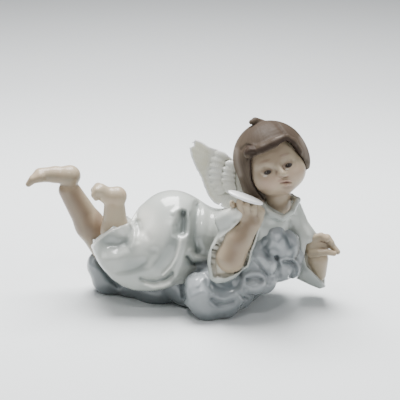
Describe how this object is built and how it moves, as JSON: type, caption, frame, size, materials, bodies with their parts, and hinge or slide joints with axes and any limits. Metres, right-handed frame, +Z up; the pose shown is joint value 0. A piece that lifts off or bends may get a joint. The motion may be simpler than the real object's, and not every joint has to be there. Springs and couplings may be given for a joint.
{
  "type": "angel figurine",
  "caption": "Porcelain figurine of a winged child lying on a cloud, legs bent up, one hand raised with a small oval plate, the other held out; flat underside.",
  "frame": {"origin": "middle of the underside, on the surface the figurine stands on", "axes": "+X from the feet to the head, -Y the front, where the face looks, +Z up"},
  "size_m": [0.215, 0.0884, 0.1319],
  "materials": {
    "glazed_porcelain": "hand-painted under a clear gloss glaze"
  },
  "bodies": {
    "root": {"angel_figurine": "glazed_porcelain"}
  },
  "joints": []
}
